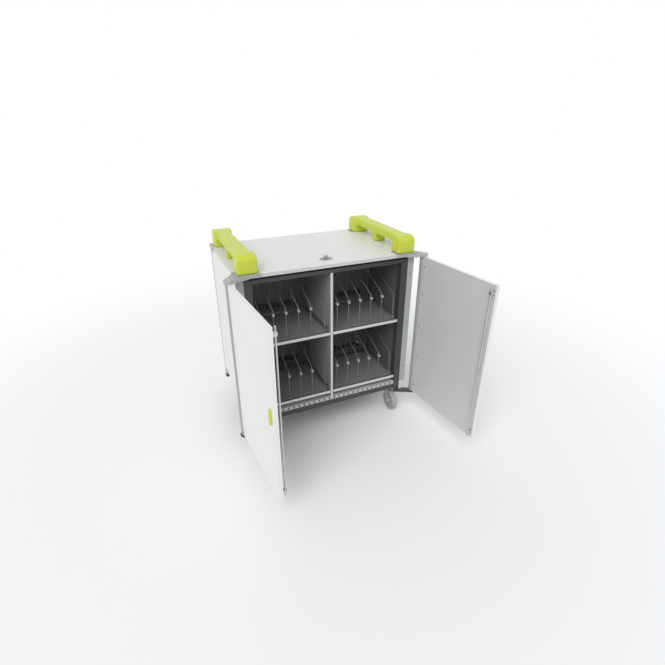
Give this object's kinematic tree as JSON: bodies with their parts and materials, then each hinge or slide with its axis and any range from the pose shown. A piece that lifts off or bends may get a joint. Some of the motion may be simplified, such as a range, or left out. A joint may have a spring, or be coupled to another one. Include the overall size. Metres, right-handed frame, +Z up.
{
  "type": "laptop trolley",
  "caption": "Lockable laptop storage trolley on castors: double front doors, pull-out trays with wire dividers, top lock, rear doors over a power bay, carrying handles on top.",
  "frame": {"origin": "the point on the floor under the middle of the closed body", "axes": "+X to the right seen from the front, +Y from the front to the rear, +Z up"},
  "size_m": [0.9289, 0.9888, 0.903],
  "materials": {
    "white_board": "white laminate on board",
    "dark_steel": "dark grey powder coat",
    "grey_steel": "mid grey powder coat",
    "tray_steel": "light grey powder coat",
    "wire_steel": "light grey coated rod",
    "pale_plastic": "mid grey moulding",
    "cap_plastic": "grey moulding, fine texture",
    "lime_plastic": "lime green moulding",
    "bright_metal": "bright zinc plate",
    "wheel_rubber": "light grey non-marking",
    "strip_plastic": "off-white moulding"
  },
  "bodies": {
    "cabinet": {"side_panel_left": "white_board", "side_panel_right": "white_board", "top_panel": "white_board", "base_pan": "dark_steel", "post_left": "dark_steel", "post_right": "dark_steel", "top_rail": "dark_steel", "runners_left_wall": "dark_steel", "runners_right_wall": "dark_steel", "runners_divider": "dark_steel", "hinge_bracket_left": "dark_steel", "hinge_bracket_right": "dark_steel", "liner_left": "grey_steel", "liner_right": "grey_steel", "centre_divider": "grey_steel", "bulkhead": "grey_steel", "floor_panel": "grey_steel", "hinge_pins": "wire_steel", "corner_cap_front_left": "cap_plastic", "corner_cap_front_right": "cap_plastic", "corner_cap_rear_left": "cap_plastic", "corner_cap_rear_right": "cap_plastic", "handle_left": "lime_plastic", "handle_right": "lime_plastic", "lock_plate": "bright_metal", "castor_plates": "bright_metal", "power_strips": "strip_plastic"},
    "top_lock": {"lock_knob": "bright_metal", "lock_cam": "bright_metal"},
    "front_door_left": {"door_panel_left": "white_board", "hinge_tube_left": "pale_plastic", "lock_bar_left": "wire_steel", "door_pull_left": "lime_plastic"},
    "front_door_right": {"door_panel_right": "white_board", "hinge_tube_right": "pale_plastic", "lock_bar_right": "wire_steel", "door_pull_right": "lime_plastic"},
    "back_door_left": {"rear_door_left": "white_board"},
    "back_door_right": {"rear_door_right": "white_board"},
    "back_lock": {"rear_knob": "cap_plastic"},
    "shelf_lower_left": {"tray_lower_left": "tray_steel", "divider_wires_lower_left": "wire_steel", "cable_clips_lower_left": "pale_plastic"},
    "shelf_lower_right": {"tray_lower_right": "tray_steel", "divider_wires_lower_right": "wire_steel", "cable_clips_lower_right": "pale_plastic"},
    "shelf_upper_left": {"tray_upper_left": "tray_steel", "divider_wires_upper_left": "wire_steel", "cable_clips_upper_left": "pale_plastic"},
    "shelf_upper_right": {"tray_upper_right": "tray_steel", "divider_wires_upper_right": "wire_steel", "cable_clips_upper_right": "pale_plastic"},
    "castor_swivel_front_left": {"castor_fork_front_left": "bright_metal"},
    "castor_roller_front_left": {"castor_wheel_front_left": "wheel_rubber"},
    "castor_swivel_front_right": {"castor_fork_front_right": "bright_metal"},
    "castor_roller_front_right": {"castor_wheel_front_right": "wheel_rubber"},
    "castor_swivel_rear_left": {"castor_fork_rear_left": "bright_metal"},
    "castor_roller_rear_left": {"castor_wheel_rear_left": "wheel_rubber"},
    "castor_swivel_rear_right": {"castor_fork_rear_right": "bright_metal"},
    "castor_roller_rear_right": {"castor_wheel_rear_right": "wheel_rubber"}
  },
  "joints": [
    {"name": "front_door_left_hinge", "type": "hinge", "parent": "cabinet", "child": "front_door_left", "pos_m": [-0.43, -0.266, 0.4635], "axis": [0, 0, -1], "range_deg": [-86, 184]},
    {"name": "front_door_right_hinge", "type": "hinge", "parent": "cabinet", "child": "front_door_right", "pos_m": [0.43, -0.266, 0.4635], "axis": [0, 0, 1], "range_deg": [-95, 175]},
    {"name": "back_door_left_hinge", "type": "hinge", "parent": "cabinet", "child": "back_door_left", "pos_m": [-0.386, 0.267, 0.4635], "axis": [0, 0, 1], "range_deg": [0, 110]},
    {"name": "back_door_right_hinge", "type": "hinge", "parent": "cabinet", "child": "back_door_right", "pos_m": [0.386, 0.267, 0.4635], "axis": [0, 0, -1], "range_deg": [0, 110]},
    {"name": "top_lock_turn", "type": "hinge", "parent": "cabinet", "child": "top_lock", "pos_m": [0, -0.18, 0.829], "axis": [0, 0, 1], "range_deg": [-90, 0]},
    {"name": "back_lock_turn", "type": "hinge", "parent": "back_door_right", "child": "back_lock", "pos_m": [0.02, 0.267, 0.47], "axis": [0, -1, 0], "range_deg": [-90, 0]},
    {"name": "shelf_lower_left_slide", "type": "slide", "parent": "cabinet", "child": "shelf_lower_left", "axis": [0, -1, 0], "range_m": [0, 0.18]},
    {"name": "shelf_lower_right_slide", "type": "slide", "parent": "cabinet", "child": "shelf_lower_right", "axis": [0, -1, 0], "range_m": [0, 0.18]},
    {"name": "shelf_upper_left_slide", "type": "slide", "parent": "cabinet", "child": "shelf_upper_left", "axis": [0, -1, 0], "range_m": [0, 0.18]},
    {"name": "shelf_upper_right_slide", "type": "slide", "parent": "cabinet", "child": "shelf_upper_right", "axis": [0, -1, 0], "range_m": [0, 0.18]},
    {"name": "castor_front_left_swivel", "type": "hinge", "parent": "cabinet", "child": "castor_swivel_front_left", "pos_m": [-0.336, -0.19, 0.118], "axis": [0, 0, 1], "continuous": true},
    {"name": "castor_front_left_roll", "type": "hinge", "parent": "castor_swivel_front_left", "child": "castor_roller_front_left", "pos_m": [-0.336, -0.222, 0.05], "axis": [1, 0, 0], "continuous": true},
    {"name": "castor_front_right_swivel", "type": "hinge", "parent": "cabinet", "child": "castor_swivel_front_right", "pos_m": [0.336, -0.19, 0.118], "axis": [0, 0, 1], "continuous": true},
    {"name": "castor_front_right_roll", "type": "hinge", "parent": "castor_swivel_front_right", "child": "castor_roller_front_right", "pos_m": [0.336, -0.222, 0.05], "axis": [1, 0, 0], "continuous": true},
    {"name": "castor_rear_left_swivel", "type": "hinge", "parent": "cabinet", "child": "castor_swivel_rear_left", "pos_m": [-0.336, 0.2, 0.118], "axis": [0, 0, 1], "continuous": true},
    {"name": "castor_rear_left_roll", "type": "hinge", "parent": "castor_swivel_rear_left", "child": "castor_roller_rear_left", "pos_m": [-0.336, 0.168, 0.05], "axis": [1, 0, 0], "continuous": true},
    {"name": "castor_rear_right_swivel", "type": "hinge", "parent": "cabinet", "child": "castor_swivel_rear_right", "pos_m": [0.336, 0.2, 0.118], "axis": [0, 0, 1], "continuous": true},
    {"name": "castor_rear_right_roll", "type": "hinge", "parent": "castor_swivel_rear_right", "child": "castor_roller_rear_right", "pos_m": [0.336, 0.168, 0.05], "axis": [1, 0, 0], "continuous": true}
  ]
}
